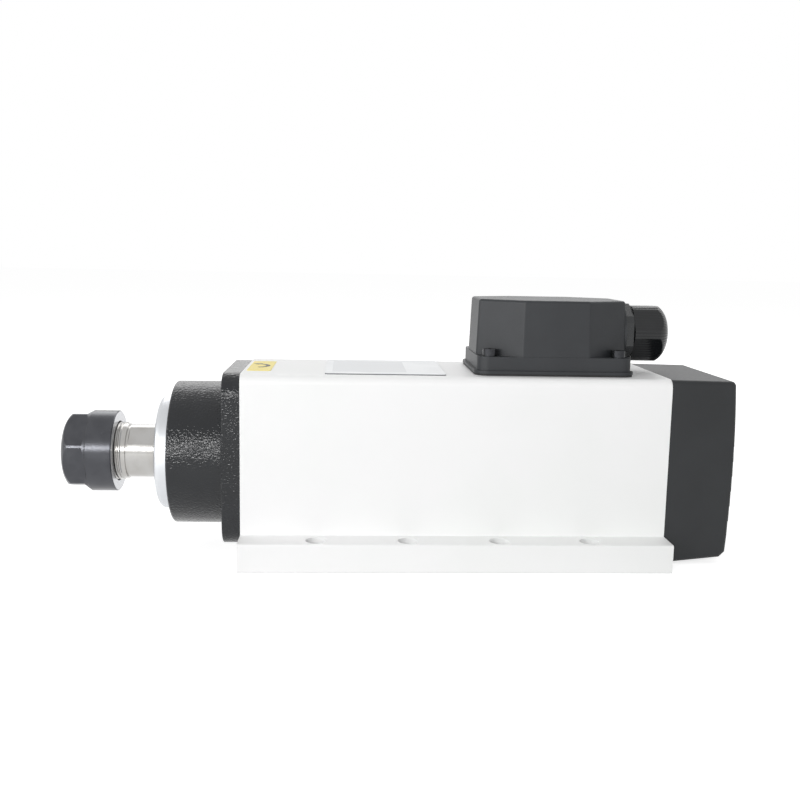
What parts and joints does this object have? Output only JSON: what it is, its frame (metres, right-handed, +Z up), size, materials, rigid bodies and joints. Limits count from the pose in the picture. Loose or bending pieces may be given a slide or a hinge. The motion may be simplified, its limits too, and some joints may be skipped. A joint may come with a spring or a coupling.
{
  "type": "motor spindle",
  "caption": "Square air-cooled motor spindle with footed housing, collet nose, rear fan hood and terminal box with cable gland.",
  "frame": {"origin": "on the mounting face under the feet, at the centre of the foot hole pattern", "axes": "-X towards the tool, +X towards the fan, +Z up from the mounting face; the spindle axis runs along X at 40.4 mm height"},
  "size_m": [0.2826, 0.09, 0.1095],
  "materials": {
    "white_powder_coat": "fine satin powder coat on extruded aluminium",
    "black_hammered_paint": "glossy black paint over a lightly cast skin",
    "black_oxide_screws": "black oxide",
    "bearing_steel": "ground and polished",
    "cage_resin": "fabric-reinforced resin",
    "turned_steel": "turned",
    "ground_steel": "ground",
    "turned_aluminium": "fine turned",
    "collet_steel": "ground",
    "blackened_nut_steel": "black oxide, oiled",
    "silicon_steel": "stacked laminations",
    "cast_aluminium": "cast",
    "enamelled_copper": "enamelled wire in varnish",
    "spring_steel": "spring temper",
    "fan_nylon": "glass-filled nylon",
    "black_moulded_plastic": "fine moulded grain",
    "gasket_rubber": "moulded",
    "terminal_resin": "moulded",
    "terminal_brass": "plated",
    "black_gland_nylon": "glossy nylon",
    "label_foil": "bare foil",
    "yellow_film": "self-adhesive film"
  },
  "bodies": {
    "housing": {"body_extrusion": "white_powder_coat", "front_flange": "black_hammered_paint", "front_flange_screws": "black_oxide_screws", "bearing_retainer": "turned_steel", "front_bearing_outer_rings": "bearing_steel", "rear_bearing_outer_ring": "bearing_steel", "stator_core": "silicon_steel", "stator_windings": "enamelled_copper", "rear_end_plate": "cast_aluminium", "end_plate_screws": "black_oxide_screws", "wave_spring": "spring_steel", "fan_cover": "black_moulded_plastic", "fan_cover_screws": "black_oxide_screws", "terminal_box_gasket": "gasket_rubber", "terminal_box_base": "black_moulded_plastic", "terminal_box_lid": "black_moulded_plastic", "terminal_box_screws": "black_oxide_screws", "terminal_block": "terminal_resin", "terminal_screws": "terminal_brass", "gland_body": "black_gland_nylon", "gland_locknut": "black_gland_nylon", "rating_plate": "label_foil", "rotation_sticker": "yellow_film"},
    "spindle": {"spindle_shaft": "ground_steel", "front_bearing_inner_rings": "bearing_steel", "rear_bearing_inner_ring": "bearing_steel", "dust_ring": "turned_aluminium", "rotor_core": "silicon_steel", "rotor_end_rings": "cast_aluminium", "cooling_fan": "fan_nylon", "fan_circlip": "spring_steel"},
    "front_cages": {"front_bearing_balls": "bearing_steel", "front_bearing_cages": "cage_resin"},
    "rear_cage": {"rear_bearing_balls": "bearing_steel", "rear_bearing_cage": "cage_resin"},
    "collet": {"collet": "collet_steel"},
    "collet_nut": {"collet_nut": "blackened_nut_steel"},
    "gland_seal": {"gland_seal": "gasket_rubber"},
    "gland_nut": {"gland_dome_nut": "black_gland_nylon"}
  },
  "joints": [
    {"name": "spindle_rotation", "type": "hinge", "parent": "housing", "child": "spindle", "pos_m": [0, 0, 0.0404], "axis": [1, 0, 0], "continuous": true},
    {"name": "front_cage_rotation", "type": "hinge", "parent": "housing", "child": "front_cages", "pos_m": [0, 0, 0.0404], "axis": [1, 0, 0], "continuous": true},
    {"name": "rear_cage_rotation", "type": "hinge", "parent": "housing", "child": "rear_cage", "pos_m": [0, 0, 0.0404], "axis": [1, 0, 0], "continuous": true},
    {"name": "collet_release", "type": "slide", "parent": "spindle", "child": "collet", "axis": [-1, 0, 0], "range_m": [0, 0.006]},
    {"name": "collet_nut_turn", "type": "hinge", "parent": "collet", "child": "collet_nut", "pos_m": [0, 0, 0.0404], "axis": [-1, 0, 0], "range_deg": [0, 1440]},
    {"name": "gland_release", "type": "slide", "parent": "housing", "child": "gland_seal", "axis": [1, 0, 0], "range_m": [0, 0.003]},
    {"name": "gland_nut_turn", "type": "hinge", "parent": "gland_seal", "child": "gland_nut", "pos_m": [0, 0, 0.0952], "axis": [1, 0, 0], "range_deg": [0, 720]}
  ],
  "couplings": [
    {"joint": "front_cage_rotation", "follows": "spindle_rotation", "ratio": 0.41},
    {"joint": "rear_cage_rotation", "follows": "spindle_rotation", "ratio": 0.38},
    {"joint": "collet_release", "follows": "collet_nut_turn", "m_per_rad": 0.0002387},
    {"joint": "gland_release", "follows": "gland_nut_turn", "m_per_rad": 0.0002387}
  ]
}
